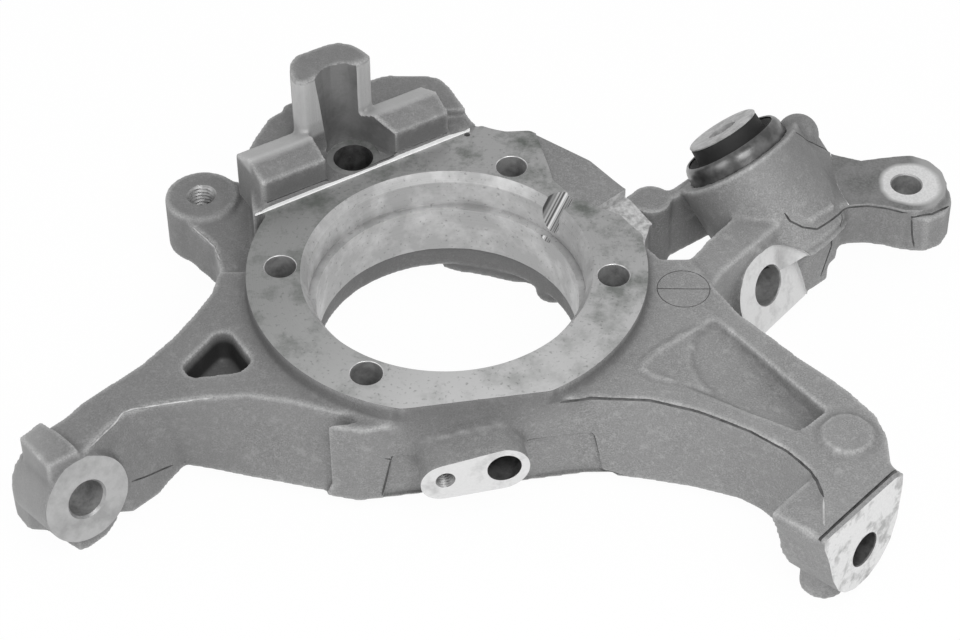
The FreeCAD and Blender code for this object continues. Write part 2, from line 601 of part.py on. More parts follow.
# Spot face and opening for the sensor at the ring
body = new_body("ring_spot_face")
spot = [(63.3, 33.6), (68.8, 30.5), (73.2, 23.4), (77.8, 12.7), (84, 16), (82, 26), (77, 38),
        (70.5, 45), (66, 44)]
sk = outline(new_sketch(body, "spot_outline", (-1, "web_drop", 0.8)), spot)
pad(body, sk, "spot_pad", 12.0)
cuts.append(body)
NOTCH = math.radians(40.3)
out = Vec(math.cos(NOTCH), math.sin(NOTCH), 0)
notch_dir = out * -0.6 + Vec(0, 0, -0.8)
notch_at = out * 61.0 + Vec(0, 0, 3.0)
cuts.append(cylinder("sensor_notch", 5.0, 26.0, (notch_at.x, notch_at.y, notch_at.z), notch_dir))

# Shallow recesses in the front wall beside the sensor boss
FLAT = facing((math.sin(a), -math.cos(a), 0), (math.cos(a), math.sin(a), 0))
BEND = facing((0.03, -1, 0), (1, 0.03, 0))
FLOOR = (1, "front_flat", -1.2)
left_recess = [(-31, -56), (-29, -42), (-26.5, -25.5), (-22, -25.5), (-22, -56)]
right_recess = [(16, -56), (16, -25), (31, -25), (31, -56)]
bent_recess = [(37, -56), (37, -25), (44, -25), (46.5, -30), (50, -44.5), (62, -45.5), (62, -56)]
for name, wall, floor, recess in (("recess_left", FLAT, FLOOR, left_recess),
                                  ("recess_right", FLAT, FLOOR, right_recess),
                                  ("recess_bend", BEND, 66.3, bent_recess)):
    body = new_body("wall_" + name, (0, 0, 0), wall)
    sk = outline(new_sketch(body, name + "_outline", floor), recess)
    pad(body, sk, name + "_pad", 12.0)
    cuts.append(body)

# Cast pockets
body = new_body("left_pocket")
pocket = [(-86, -21.5), (-73.5, -42.5), (-78.5, -48.5), (-97.5, -51.5), (-101.5, -45)]
sk = outline(new_sketch(body, "left_pocket_outline", 0.0), pocket)
deep = pad(body, sk, "left_pocket_pad", 22.0, down=True, taper=-4.0)
soften(body, deep, "left_pocket_round", 4.0,
       lambda e: abs(e.Vertexes[0].Point.z - e.Vertexes[-1].Point.z) > 5)
cuts.append(body)

body = new_body("web_pocket")


def wall_section(name, at, towards, near_depth, far_depth):
    """Upright section from a deep corner to a shallow one, under the web surface."""
    run = Vec(towards[0] - at[0], towards[1] - at[1], 0)
    width = run.Length
    run.normalize()
    up = Vec(0, 0, 1)
    sk = new_sketch(body, name)
    upright = FreeCAD.Rotation(run, up, run.cross(up), "ZXY")
    sk.AttachmentOffset = FreeCAD.Placement(Vec(at[0], at[1], 0), upright)
    top = -size["web_drop"]
    return outline(sk, [(0, 2), (0, top - near_depth), (width, top - far_depth), (width, 2)])


first = wall_section("pocket_shallow_end", (103, -24), (72, -50.5), 2.5, 0.4)
last = wall_section("pocket_deep_end", (141, -74), (130, -84), 10.0, 3.0)
loft(body, first, last, "web_pocket_loft")
cuts.append(body)


def under_pocket(name, corners, top):
    """Hollow left by the core on the underside."""
    body = new_body(name)
    sk = outline(new_sketch(body, name + "_outline", (-1, "foot_depth", -4)), corners)
    pad(body, sk, name + "_pad", (1, "foot_depth", 4 + top), taper=-3.0)
    cuts.append(body)


under_pocket("under_right", [(88, -8), (97, -15), (112, -38), (102, -64), (90, -62), (84, -40)], -22.0)
under_pocket("under_lower", [(117, -44), (130, -62), (135, -76), (122, -79), (109, -68)], -24.0)
under_pocket("under_left", [(-84, -16), (-94, -24), (-104, -40), (-99, -51), (-82, -58), (-72, -46)], -29.0)
under_pocket("under_left_outer", [(-108, -44), (-122, -58), (-113, -66), (-104, -55)], -24.0)

turned_holes = doc.addObject("Part::MultiFuse", "machining")
turned_holes.Shapes = cuts
casting = doc.addObject("Part::Cut", "knuckle_casting")
casting.Base = blank
casting.Tool = turned_holes


# Bonded bush in the housing: sleeve, rubber and inner piece, each turned about the bush axis
def turned_piece(name, corners):
    """Revolved section; corners are (radius spec, height spec) on the bush axis."""
    body = new_body(name, BUSH_AT, facing(BUSH_N, SIDE))
    sk = new_sketch(body, name + "_section", 0.0, "XZ_Plane")
    spots = [(term(r)[0], term(h)[0]) for r, h in corners]
    n = len(spots)
    for i in range(n):
        sk.addGeometry(Part.LineSegment(Vec(*spots[i], 0), Vec(*spots[(i + 1) % n], 0)), False)
    for i in range(n):
        sk.addConstraint(Sketcher.Constraint("Coincident", i, 2, (i + 1) % n, 1))
    for i, pair in enumerate(corners):
        for kind, spec in zip(("DistanceX", "DistanceY"), pair):
            value, text = term(spec)
            c = sk.addConstraint(Sketcher.Constraint(kind, i, 1, value))
            if text:
                sk.setExpression("Constraints[%d]" % c, text)
    turn = body.newObject("PartDesign::Revolution", name + "_turn")
    turn.Profile = sk
    turn.ReferenceAxis = (sk, ["V_Axis"])
    turn.Angle = 360
    return body


PROUD, PIN, BORE = "bush_sleeve_proud", "bush_pin_proud", "bush_pin_bore"
DEEP = (-1, "bush_len", 4.0)
INNER = (1, "bush_sleeve_rad", -size["bush_sleeve_wall"])
OUTER = "bush_sleeve_rad"
sleeve = turned_piece("bush_outer_sleeve", [(OUTER, DEEP), (OUTER, PROUD), (INNER, PROUD), (INNER, DEEP)])
STEM = (1, "bush_pin_bore", 4.4)
CORE = [(BORE, (-1, "bush_len", 1.0)), (STEM, (-1, "bush_len", 1.0)), (STEM, (1, PIN, -3.0)),
        ("bush_pin_rad", (1, PIN, -3.0)), ("bush_pin_rad", PIN), (BORE, PIN)]
inner = turned_piece("bush_inner_sleeve", CORE)
INSIDE, UNDER_DISC, COLLAR = (-1, "bush_len", 6.0), (1, PIN, -3.0), (1, "bush_pin_rad", 0.4)
rubber = turned_piece("bush_rubber", [
    (STEM, INSIDE), (INNER, INSIDE), (INNER, PROUD), ((1, OUTER, -0.6), PROUD),
    ((1, OUTER, -1.2), (1, PROUD, 1.6)), (COLLAR, (1, PROUD, 1.0)), (COLLAR, UNDER_DISC), (STEM, UNDER_DISC)])
doc.recompute()

# Checks and export
trouble = []
for obj in doc.Objects:
    if "Invalid" in obj.State or "Error" in obj.State or "Touched" in obj.State:
        trouble.append("%s %s" % (obj.Name, obj.State))
    shape = getattr(obj, "Shape", None)
    if shape is not None and not shape.isNull() and not shape.isValid():
        trouble.append("%s has an invalid shape" % obj.Name)
if trouble:
    raise SystemExit("\n".join(trouble))

for piece in (casting, sleeve, rubber, inner):
    print(piece.Name, "solids", len(piece.Shape.Solids), "volume cm3 %.1f" % (piece.Shape.Volume / 1000),
          "box", piece.Shape.BoundBox)
    piece.Shape.exportStep("parts/%s.step" % piece.Name)
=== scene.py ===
# Steering knuckle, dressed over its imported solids. Lengths are written in millimetres and turned into
# metres where the meshes are made. The origin is on the hub axis at the machined hub face, with +Z out of
# that face.
import math

import bmesh
import bpy
import numpy as np
from mathutils import Matrix, Vector


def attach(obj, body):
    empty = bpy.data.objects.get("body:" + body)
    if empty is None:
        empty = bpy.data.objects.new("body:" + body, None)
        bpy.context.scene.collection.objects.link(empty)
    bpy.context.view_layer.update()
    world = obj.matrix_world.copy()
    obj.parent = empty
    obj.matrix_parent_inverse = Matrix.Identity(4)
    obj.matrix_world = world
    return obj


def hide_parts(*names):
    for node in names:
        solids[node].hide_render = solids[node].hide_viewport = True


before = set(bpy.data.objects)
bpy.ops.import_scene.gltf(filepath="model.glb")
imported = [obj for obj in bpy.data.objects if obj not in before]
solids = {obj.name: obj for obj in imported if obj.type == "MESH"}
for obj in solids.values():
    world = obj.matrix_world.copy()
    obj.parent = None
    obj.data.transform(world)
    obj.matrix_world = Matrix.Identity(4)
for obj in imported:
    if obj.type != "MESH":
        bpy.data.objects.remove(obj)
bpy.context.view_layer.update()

# Poured casting
# The knuckle is one aluminium casting. It is poured too thick where a face will be milled, with its holes
# shut. Outer edges get a small rounding and inner corners a larger one, as the mould leaves them.
MM = 0.001
GRAIN = 1.05
STOCK, THIN_STOCK = 1.5, 0.9
WEB_DROP = 0.6
WALL_FOOT = -47.9
KEPT_FACETS = 150000
UP = Vector((0, 0, 1))
HUB = Vector((0, 0, 0))
LEFT, LEFT_OUT = Vector((-134.2, -94.4, -28)), Vector((0.63, -0.76, 0.16)).normalized()
LOWER, LOWER_OUT = Vector((152.4, -121.7, -30)), Vector((0.73, -0.68, 0.06)).normalized()
LINK, LINK_OUT = Vector((128.7, 19.4, -30)), Vector((0.74, -0.61, 0.28)).normalized()
SENSOR, SENSOR_OUT = Vector((21.25, -84.6, -24)), Vector((0.2, -0.98, 0)).normalized()
SCREW = SENSOR + Vector((-22.05, -4.5, -1.8))
STUD, EYE = Vector((-100.5, 60, -14)), Vector((187.2, 59.6, -12))
CABLE = Vector((-38, 64.4, 1.5))
HUB_SCREWS = [Vector((65 * math.cos(math.radians(a)), 65 * math.sin(math.radians(a)), 0))
              for a in (178.6, 242.4, 355.1, 66.3)]
HUMP, HUMP_SIZE = Vector((143.3, 76, 1.0)), 8.8
NOTCH_TURN = math.radians(40.3)
NOTCH_AT = Vector((61 * math.cos(NOTCH_TURN), 61 * math.sin(NOTCH_TURN), 3))
NOTCH_IN = Vector((-0.6 * math.cos(NOTCH_TURN), -0.6 * math.sin(NOTCH_TURN), -0.8))
WALL_TURN = math.radians(8.75)
WALL_OUT = Vector((math.sin(WALL_TURN), -math.cos(WALL_TURN), 0))
WALL_ALONG = Vector((math.cos(WALL_TURN), math.sin(WALL_TURN), 0))
WALL_REACH, BEND_REACH = 73.16, 67.75
BEND_OUT, BEND_ALONG = Vector((0.03, -1, 0)).normalized(), Vector((1, 0.03, 0)).normalized()


def seat(at, out, across=None):
    """Place whose Z runs out of a face and whose X lies near the across direction."""
    x = (across or (Vector((1, 0, 0)) if abs(out.x) < 0.9 else Vector((0, 1, 0)))).copy()
    x = (x - out * x.dot(out)).normalized()
    y = out.cross(x)
    turn = Matrix((x, y, out)).transposed().to_4x4()
    return Matrix.Translation(at) @ turn


def ring_of(radius, steps=72, centre=(0, 0)):
    return [(centre[0] + radius * math.cos(2 * math.pi * k / steps),
             centre[1] + radius * math.sin(2 * math.pi * k / steps)) for k in range(steps)]


def arc(radius, degrees):
    return [(radius * math.cos(math.radians(t)), radius * math.sin(math.radians(t))) for t in degrees]


def prism(bm, corners, low, high, place=None, upper=None):
    """Closed prism over the corners, from low to high along Z. The upper corners may differ."""
    place = place or Matrix.Identity(4)
    floor = [bm.verts.new(place @ Vector((x, y, low)) * MM) for x, y in corners]
    roof = [bm.verts.new(place @ Vector((x, y, high)) * MM) for x, y in upper or corners]
    bm.faces.new(floor[::-1])
    bm.faces.new(roof)
    for k in range(len(corners)):
        n = (k + 1) % len(corners)
        bm.faces.new((floor[k], floor[n], roof[n], roof[k]))


def joined(bm, loops, hollow=False):
    """Surface through loops of vertices, capped at both ends or, if hollow, closed into a ring."""
    for low, high in zip(loops, loops[1:] + (loops[:1] if hollow else [])):
        for k in range(len(low)):
            n = (k + 1) % len(low)
            bm.faces.new((low[k], low[n], high[n], high[k]))
    if not hollow:
        bm.faces.new(loops[0][::-1])
        bm.faces.new(loops[-1])


def turned(bm, profile, place=None, steps=128, hollow=False):
    """Lathe piece through (radius, height) pairs."""
    place = place or Matrix.Identity(4)
    joined(bm, [[bm.verts.new(place @ Vector((x, y, h)) * MM) for x, y in ring_of(r, steps)]
                for r, h in profile], hollow)


def pipe(bm, inner, outer, low, high, place=None):
    """Closed ring between two radii."""
    turned(bm, [(inner, low), (outer, low), (outer, high), (inner, high)], place, 96, True)


def strip(bm, path, width, low, high, place=None):
    """Closed strip of the given width along an open path."""
    left, right = [], []
    for k, (x, y) in enumerate(path):
        (ax, ay), (bx, by) = path[max(k - 1, 0)], path[min(k + 1, len(path) - 1)]
        run = math.hypot(bx - ax, by - ay)
        sx, sy = (ay - by) / run * width / 2, (bx - ax) / run * width / 2
        left.append((x + sx, y + sy))
        right.append((x - sx, y - sy))
    prism(bm, left + right[::-1], low, high, place)


def piece(name, bm):
    mesh = bpy.data.meshes.new(name)
    bmesh.ops.recalc_face_normals(bm, faces=bm.faces)
    bm.to_mesh(mesh)
    bm.free()
    obj = bpy.data.objects.new(name, mesh)
    bpy.context.scene.collection.objects.link(obj)
    return obj


def settle(obj):
    """Applies the object's modifiers to its mesh."""
    view = bpy.context.evaluated_depsgraph_get()
    mesh = bpy.data.meshes.new_from_object(obj.evaluated_get(view), preserve_all_data_layers=True,
                                           depsgraph=view)
    obj.modifiers.clear()
    old = obj.data
    obj.data = mesh
    bpy.data.meshes.remove(old)


def panel(left, right, top):
    """Corners of an upright panel on the front wall, down to its foot."""
    return [(left, WALL_FOOT), (left, top), (right, top), (right, WALL_FOOT)]


def inside(points, corners):
    """Which of the points lie within the polygon."""
    x, y = points[:, 0], points[:, 1]
    within = np.zeros(len(points), bool)
    for (ax, ay), (bx, by) in zip(corners, corners[1:] + corners[:1]):
        if ay != by:
            within ^= ((ay > y) != (by > y)) & (x < (bx - ax) * (y - ay) / (by - ay) + ax)
    return within


pour = bmesh.new()
pour.from_mesh(solids["knuckle_casting"].data)
bmesh.ops.remove_doubles(pour, verts=pour.verts, dist=2e-6)
MILLED = [(HUB, UP, 82, STOCK), (LEFT, LEFT_OUT, 19, STOCK), (LOWER, LOWER_OUT, 42, STOCK),
          (LINK, LINK_OUT, 29, STOCK), (SENSOR, SENSOR_OUT, 36, STOCK), (EYE, UP, 78, THIN_STOCK),
          (UP * -WEB_DROP, UP, 100, STOCK + WEB_DROP)]
for at, out, reach, thick in MILLED:
    for v in pour.verts:
        gap = v.co / MM - at
        if abs(gap.dot(out)) < 0.03 and gap.length < reach:
            v.co += out * thick * MM
pipe(pour, 48.5, 57.5, -36.2, STOCK)
SHUT_HOLES = [(at, UP, 6.9, 46.8, STOCK) for at in HUB_SCREWS] + [
    (LEFT, LEFT_OUT, 8.1, 24, STOCK), (STUD, UP, 5.9, 23.5, -WEB_DROP), (LOWER, LOWER_OUT, 7.6, 21, STOCK),
    (LINK, LINK_OUT, 9.1, 17.5, STOCK), (EYE, UP, 6.8, 21, THIN_STOCK), (CABLE, UP, 8.8, 48.4, -WEB_DROP),
    (SENSOR, SENSOR_OUT, 7.3, 33, STOCK), (SCREW, SENSOR_OUT, 4.6, 17, STOCK)]
for at, out, radius, deep, lid in SHUT_HOLES:
    prism(pour, ring_of(radius, 40), -deep, lid, seat(at, out))
prism(pour, ring_of(5.6, 32), 1.9, 21.0, seat(NOTCH_AT, NOTCH_IN))
SPOT_STOCK = [(59.5, 33), (61, 40), (64.5, 46.5), (71, 46.4), (73.5, 44.1), (76.3, 39.5), (78.6, 34.6),
              (79.9, 30.5), (80.3, 26.4), (78.3, 19.4), (76, 13), (70, 20)]
prism(pour, SPOT_STOCK, -20, STOCK)
LINK_PLACE = seat(LINK, LINK_OUT, Vector((0.61, 0.74, 0)))
BUSH_PLACE = seat(Vector((118.5, 65.8, -1.6)), Vector((-0.52, 0.43, 0.74)).normalized())
FLAT_WALL = seat(WALL_OUT * WALL_REACH, WALL_OUT, WALL_ALONG)
BENT_WALL = seat(BEND_OUT * BEND_REACH, BEND_OUT, BEND_ALONG)
# The front wall's recesses and the corner beside the link face are filled here, and cut again later.
prism(pour, panel(27, 40, -8), -5, -0.05, FLAT_WALL)
prism(pour, panel(15, 32, -24), -4, 0, FLAT_WALL)
prism(pour, panel(-58, -20, -9), -5, -0.1, FLAT_WALL,
      [(-46, WALL_FOOT), (-43, -9), (-20, -9), (-20, WALL_FOOT)])
prism(pour, [(9, -3), (20.5, -3), (18.5, 5), (15, 10)], -2.4, STOCK, LINK_PLACE)
prism(pour, [(12, -3), (21, -3), (21, 9), (12, 13)], -7, -0.1, LINK_PLACE)
prism(pour, panel(36.5, 63, -24), -4, -0.3, BENT_WALL)
turned(pour, [(y, -x) for x, y in arc(HUMP_SIZE, range(12, 180, 12))], seat(HUMP, UP), 32)
casting = piece("poured_casting", pour)

remesh = casting.modifiers.new("grain", "REMESH")
remesh.mode = "VOXEL"
remesh.voxel_size = GRAIN * MM
settle(casting)


def read(source, field, kind=np.float64, width=3):
    values = np.empty(len(source) * width, kind)
    source.foreach_get(field, values)
    return values.reshape(-1, width)


def soften(name, times, group=""):
    smooth = casting.modifiers.new(name, "SMOOTH")
    smooth.factor = 0.5
    smooth.iterations = times
    smooth.vertex_group = group


PLATEAU = [(77.5, -44), (74.3, -47.4), (73.5, -51.6), (76.9, -56), (93.5, -60.4), (108.5, -68.2),
           (119, -72.6), (129.9, -83.4), (133.4, -83.5), (123.6, -73.5), (115.4, -56.6), (105.1, -32.3),
           (100, -27), (88, -34)]
PLATEAU_LIFT = 0.9
points = read(casting.data.vertices, "co") / MM
raised = inside(points, PLATEAU) & (points[:, 2] > -8) & (points[:, 2] < -4)
points[raised, 2] += PLATEAU_LIFT
casting.data.vertices.foreach_set("co", (points * MM).ravel())
soften("skin", 2)
settle(casting)

ends = read(casting.data.edges, "vertices", np.int32, 2)
points = read(casting.data.vertices, "co") / MM
normals = read(casting.data.vertices, "normal")
count = np.bincount(ends.ravel(), minlength=len(points))


def of_neighbours(values):
    """Mean of a value over the vertices next to each vertex."""
    total = np.bincount(ends[:, 0], values[ends[:, 1]], len(points)) + \
        np.bincount(ends[:, 1], values[ends[:, 0]], len(points))
    return total / count


# Where the skin bends inwards it gets a fillet. The pads and the post keep tighter corners. The bend is
# also stored on the vertices, as rim and root: rim for worn edges that also carry a painted highlight, and
# root for painted shade in the inner corners.
FLAT_BEND, FULL_BEND = 0.03, 0.11
TIGHT_CORNERS = 0.25
middle = np.stack([of_neighbours(points[:, k]) for k in range(3)], 1)
hollowness = ((middle - points) * normals).sum(1) / GRAIN
fillet = np.clip((hollowness - FLAT_BEND) / (FULL_BEND - FLAT_BEND), 0, 1)
for _ in range(4):
    fillet = np.maximum(fillet, of_neighbours(fillet))
fillet[(points[:, 0] < 14) & (points[:, 1] > 26) & (points[:, 2] > 0.4)] *= TIGHT_CORNERS
for name, bend, spread in (("rim", -hollowness, 1), ("root", hollowness, 2)):
    share = np.clip(bend * 9 - 0.25, 0, 1)
    for _ in range(spread):
        share = of_neighbours(share)
    casting.data.attributes.new(name, "FLOAT", "POINT").data.foreach_set("value", share)
inner_corners = casting.vertex_groups.new(name="inner_corners")
for index, share in enumerate(fillet.tolist()):
    if share > 0.02:
        inner_corners.add([index], share, "REPLACE")
soften("fillets", 14, "inner_corners")
soften("outer_edges", 1)
clouds = bpy.data.textures.new("unevenness", "CLOUDS")
clouds.noise_scale = 0.03
uneven = casting.modifiers.new("unevenness", "DISPLACE")
uneven.texture = clouds
uneven.texture_coords = "LOCAL"
uneven.strength = 0.00035
uneven.mid_level = 0.5
thin = casting.modifiers.new("thinning", "DECIMATE")
thin.ratio = KEPT_FACETS / (2 * len(casting.data.polygons))
settle(casting)
casting.vertex_groups.clear()


# Finishes of the casting
# The skin is shot blasted: a matt grey with fine bright and dark specks, and broad cloudy stains. Painted
# shade darkens its inner corners, the left pocket, the bore, the tower, the wall under the ring's edge and
# the left and back. Painted light brightens the left end, and edges carry wear with a painted highlight.
# Milled faces and turned bores are brighter, with tool lines and a few stains, and a painted sheen lies
# towards the front of the milled faces.
class Wire:
    """A shader socket that takes part in sums and products."""

    def __init__(self, paint, socket):
        self.paint, self.socket = paint, socket

    def _join(self, operation, other, swap=False):
        pair = (other, self) if swap else (self, other)
        return self.paint.node("ShaderNodeMath", {"operation": operation}, {0: pair[0], 1: pair[1]})

    def __add__(self, other):
        return self._join("ADD", other)

    __radd__ = __add__

    def __sub__(self, other):
        return self._join("SUBTRACT", other)

    def __rsub__(self, other):
        return self._join("SUBTRACT", other, True)

    def __mul__(self, other):
        return self._join("MULTIPLY", other)

    __rmul__ = __mul__


class Paint:
    """A material's node tree, filled node by node."""

    def __init__(self, name):
        self.material = bpy.data.materials.new(name)
        self.material.use_nodes = True
        self.tree = self.material.node_tree
        self.shader = self.tree.nodes["Principled BSDF"]

    def node(self, kind, settings=None, sockets=None, out=0):
        made = self.tree.nodes.new(kind)
        for key, value in (settings or {}).items():
            setattr(made, key, value)
        for key, value in (sockets or {}).items():
            self.put(made.inputs[key], value)
        return Wire(self, made.outputs[out])

    def put(self, socket, value):
        if isinstance(value, Wire):
            self.tree.links.new(value.socket, socket)
        else:
            socket.default_value = value

    def finish(self, **sockets):
        for key, value in sockets.items():
            self.put(self.shader.inputs[key.replace("_", " ")], value)
        return self.material

    def place(self):
        return self.node("ShaderNodeTexCoord", out=3)

    def noise(self, scale, detail=2.0, rough=0.5, at=None):
        return self.node("ShaderNodeTexNoise", {}, {"Vector": at or self.place(), "Scale": scale,
                                                    "Detail": detail, "Roughness": rough})

    def between(self, low, high, wire):
        """Maps a wire's range from low to high onto 0 to 1, and holds it there."""
        return self.node("ShaderNodeMapRange", {"clamp": True},
                         {"Value": wire, "From Min": low, "From Max": high})

    def along(self, direction, start=(0, 0, 0)):
        """Distance in millimetres from the start, measured along a direction."""
        offset = Vector(start).dot(Vector(direction))
        share = self.node("ShaderNodeVectorMath", {"operation": "DOT_PRODUCT"},
                          {0: self.place(), 1: tuple(Vector(direction) * 1000)}, 1)
        return share - offset

    def away(self, centre):
        """Distance in millimetres from an upright axis through the centre."""
        moved = self.node("ShaderNodeVectorMath", {"operation": "MULTIPLY_ADD"},
                          {0: self.place(), 1: (1000, 1000, 0), 2: (-centre[0], -centre[1], 0)})
        return self.node("ShaderNodeVectorMath", {"operation": "LENGTH"}, {0: moved}, 1)

    def lines(self, wire, detail=2.0):
        """Fine lines across the direction in which the wire grows."""
        return self.noise(1.0, detail, 0.6, self.node("ShaderNodeCombineXYZ", {}, {0: wire}))

    def mark(self, name):
        """Value stored on the mesh's vertices."""
        return self.node("ShaderNodeAttribute", {"attribute_name": name}, {}, 2)

    def mix(self, share, first, second):
        """Colour mix of two colours or wires."""
        made = self.tree.nodes.new("ShaderNodeMix")
        made.data_type = "RGBA"
        for key, value in ((0, share), (6, first), (7, second)):
            self.put(made.inputs[key], value)
        return Wire(self, made.outputs[2])

    def bump(self, height, distance, strength=1.0, under=None):
        sockets = {"Height": height, "Distance": distance, "Strength": strength}
        if under:
            sockets["Normal"] = under
        return self.node("ShaderNodeBump", {}, sockets)


def grey(level, tint=0.0):
    return (level, level * (1 + tint), level, 1)


PAD_IN, PAD_FRONT = Vector((-0.505, 0.863, 0)), 67.2
POCKET = Vector((-87, -41, 0))
skin = Paint("blasted_aluminium")
specks = skin.between(0.33, 0.67, skin.noise(1700, 1.5))
flecks = skin.between(0.58, 0.70, skin.noise(640, 3.0, 0.6))
mottle = skin.between(0.38, 0.62, skin.noise(330, 3.0, 0.6))
clouding = skin.between(0.35, 0.65, skin.noise(48, 5.0, 0.65))
rubbed = skin.between(0.56, 0.69, skin.noise(150, 5.0, 0.72))
# Painted shade: the skin darkens towards the left and the back.
painted_side_shade = skin.between(70, -95, skin.along((0.8, -0.6, 0)))
tone = skin.mix(specks, grey(0.20), grey(0.345))
tone = skin.mix(mottle * 0.5, tone, grey(0.215))
tone = skin.mix(clouding * 0.45, tone, grey(0.31))
tone = skin.mix(rubbed * 0.45, tone, grey(0.43))
tone = skin.mix(flecks * 0.3, tone, grey(0.47))
tone = skin.mix(painted_side_shade * 0.47, tone, grey(0.12))
# Painted light: the far left end, beyond 141 mm left of the hub axis, is lightened.
tone = skin.mix(skin.between(-141, -152, skin.along((1, 0, 0))) * 0.45, tone, grey(0.40))
inwards = skin.along(PAD_IN) - PAD_FRONT
height = skin.along(UP)
grain_off = 4 * skin.noise(80, 3.0) - 2
on_pads = skin.between(8.0, 11.0, inwards + grain_off) * skin.between(25.5, 23.5, inwards) * \
    skin.between(10.5, 12.5, height) * skin.between(39.6, 38.6, height)
columns = skin.between(2.0, 4.0, inwards) * skin.between(25.5, 23.5, inwards) * \
    skin.between(17.0, 19.0, height) * skin.between(39.6, 38.6, height)
drawn = skin.lines(skin.along((0.863, 0.505, 0)) * 0.7)
tone = skin.mix(on_pads * 0.75, tone, grey(0.50))
tone = skin.mix(columns * 0.7, tone, skin.mix(drawn, grey(0.40), grey(0.66)))
pad_foot = skin.between(1.6, 0.9, inwards) * skin.between(1.6, 2.4, height) * \
    skin.between(-1.5, 0.0, inwards)
tone = skin.mix(pad_foot * 0.6, tone, grey(0.14))
# Painted shade: the left pocket's walls are darkened nearly to black, its floor less.
pocket_shade = skin.between(24.0, 21.0, skin.away(POCKET)) * skin.between(-10.5, -13.5, height) * \
    skin.between(-59.5, -58.0, skin.along((0, 1, 0)))
on_floor = skin.between(-20.0, -21.6, height)
tone = skin.mix(pocket_shade * (0.95 - 0.55 * on_floor), tone, grey(0.03))
radius = skin.away(HUB)
# Painted shade: a dark band on the ring's outer wall, down to the web.
ring_foot_shade = skin.between(80.6, 79.0, radius) * skin.between(77.6, 78.2, radius) * \
    skin.between(-0.3, -3.0, height) * skin.between(-7.6, -6.6, height)
tone = skin.mix(ring_foot_shade * 0.45, tone, grey(0.08))
along_wall, wall_depth = skin.along(WALL_ALONG), skin.along(WALL_OUT)
# Painted shade on the front wall just under the ring's flat edge.
under_edge_shade = skin.between(71.6, 72.4, wall_depth) * skin.between(75.0, 74.2, wall_depth) * \
    skin.between(-17, -3, height) * skin.between(-46, -40, along_wall) * skin.between(46, 40, along_wall)
tone = skin.mix(under_edge_shade * 0.5, tone, grey(0.10))
# Painted shade darkens the tower under the bush.
housing_shade = skin.between(35, 60, skin.along((0, 1, 0))) * skin.between(95, 110, skin.along((1, 0, 0)))
tone = skin.mix(housing_shade * 0.52, tone, grey(0.12))
# Painted shade deep in the hub bore, more than 16 mm below the face.
bore_shade = skin.between(58.5, 57.5, radius) * skin.between(-15.5, -16.5, height)
tone = skin.mix(bore_shade * 0.5, tone, grey(0.12))
# Painted shade: inner corners are darkened by the stored root bend.
tone = skin.mix(skin.mark("root") * 0.85, tone, grey(0.07))
# Convex edges are lightened: edge wear with a painted highlight on it.
tone = skin.mix(skin.mark("rim") * (0.35 + 0.5 * rubbed + 0.3 * specks), tone, grey(0.62))
grit = skin.bump(skin.noise(1300, 2.0), 0.00018, 0.8)
cast_skin = skin.finish(Base_Color=tone, Metallic=0.35, Roughness=0.50 + 0.16 * clouding,
                        Normal=skin.bump(skin.noise(190, 2.0), 0.0005, 0.4, grit))

milled = Paint("milled_aluminium")
tool_lines = milled.lines(milled.away(HUB) * 2.6, 3.0)
stains = milled.between(0.48, 0.66, milled.noise(42, 5.0, 0.7))
pits = milled.between(0.60, 0.72, milled.noise(620, 2.0))
# Painted sheen: the milled faces are lightened towards the front, and their stains thin out there.
painted_front_sheen = milled.between(25, -70, milled.along((-0.25, 0.97, 0)) + 50 * milled.noise(22, 4.0, 0.6))
shine = milled.mix(tool_lines, grey(0.30), grey(0.46))
shine = milled.mix(painted_front_sheen * 0.8, shine, grey(0.72))
shine = milled.mix(stains * (1.15 - painted_front_sheen) * 0.85, shine, grey(0.14, 0.08))
shine = milled.mix(pits * 0.55, shine, grey(0.15, 0.04))
shine = milled.mix(milled.between(0, -80, milled.along((1, 0, 0))) * 0.45, shine, grey(0.19, 0.04))
milled_face = milled.finish(Base_Color=shine, Metallic=0.6, Roughness=0.42 + 0.15 * stains,
                            Normal=milled.bump(tool_lines, 0.00003, 0.5))

ear = Paint("stained_steering_face")
smudge = ear.between(0.42, 0.62, ear.noise(70, 4.0, 0.65))
from_eye = ear.away(EYE + Vector((1.5, 0, 0)))
worn_ring = ear.between(15.0, 12.5, from_eye + 3 * ear.noise(90, 2.0))
worn_tip = ear.between(193, 199, ear.along((1, 0, 0)) + 8 * ear.noise(120, 3.0))
ear_specks = ear.between(0.35, 0.65, ear.noise(1200, 1.0))
ear_tone = ear.mix(smudge, grey(0.20), grey(0.13, 0.02))
ear_tone = ear.mix(worn_tip * 0.6, ear_tone, grey(0.5))
ear_tone = ear.mix(worn_ring * 0.9, ear_tone, grey(0.78))
ear_tone = ear.mix(ear_specks * 0.25, ear_tone, grey(0.36))
steering_face = ear.finish(Base_Color=ear_tone, Metallic=0.4, Roughness=0.5)

bored = Paint("turned_bore")
grooves = bored.lines(bored.along(UP) * 3.2)
blotches = bored.between(0.45, 0.7, bored.noise(60, 4.0, 0.65))
wall_tone = bored.mix(grooves, grey(0.32), grey(0.54))
wall_tone = bored.mix(blotches * 0.6, wall_tone, grey(0.78))
wall_tone = bored.mix(bored.between(0.62, 0.72, bored.noise(700, 2.0)) * 0.5, wall_tone, grey(0.16))
turned_bore = bored.finish(Base_Color=wall_tone, Metallic=0.45, Roughness=0.42,
                           Normal=bored.bump(grooves, 0.00003, 0.5))


